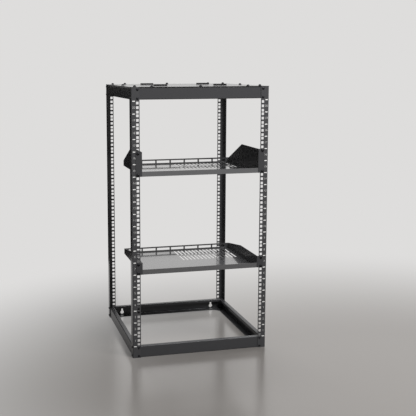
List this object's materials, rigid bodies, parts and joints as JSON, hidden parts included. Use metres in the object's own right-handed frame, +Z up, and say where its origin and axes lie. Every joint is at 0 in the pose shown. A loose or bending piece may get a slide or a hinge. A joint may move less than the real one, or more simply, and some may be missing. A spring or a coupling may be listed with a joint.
{
  "type": "four post open frame rack",
  "caption": "Free-standing open frame rack for 19 inch equipment: folded steel posts with square holes, base and head frames, top plate and vented shelves.",
  "frame": {"origin": "centre of the footprint, on the floor", "axes": "+Z up, -Y towards the front (the side the shelf ears are on), +X to the right seen from the front"},
  "size_m": [0.51, 0.5215, 0.988],
  "materials": {
    "posts": "black satin powder coat",
    "frames": "black satin powder coat",
    "top_plate": "black satin powder coat",
    "shelf_trays": "black satin powder coat",
    "shelf_brackets": "black satin powder coat"
  },
  "bodies": {
    "root": {"post_front_left": "posts", "post_front_right": "posts", "post_rear_left": "posts", "post_rear_right": "posts", "base_rail_front": "frames", "base_rail_rear": "frames", "base_rail_left": "frames", "base_rail_right": "frames", "head_rail_front": "frames", "head_rail_rear": "frames", "head_rail_left": "frames", "head_rail_right": "frames", "gusset_front_left": "frames", "gusset_front_right": "frames", "gusset_rear_left": "frames", "gusset_rear_right": "frames", "top_plate": "top_plate", "upper_shelf_tray": "shelf_trays", "upper_shelf_bracket_left": "shelf_brackets", "upper_shelf_bracket_right": "shelf_brackets", "lower_shelf_tray": "shelf_trays", "lower_shelf_bracket_left": "shelf_brackets", "lower_shelf_bracket_right": "shelf_brackets"}
  },
  "joints": []
}
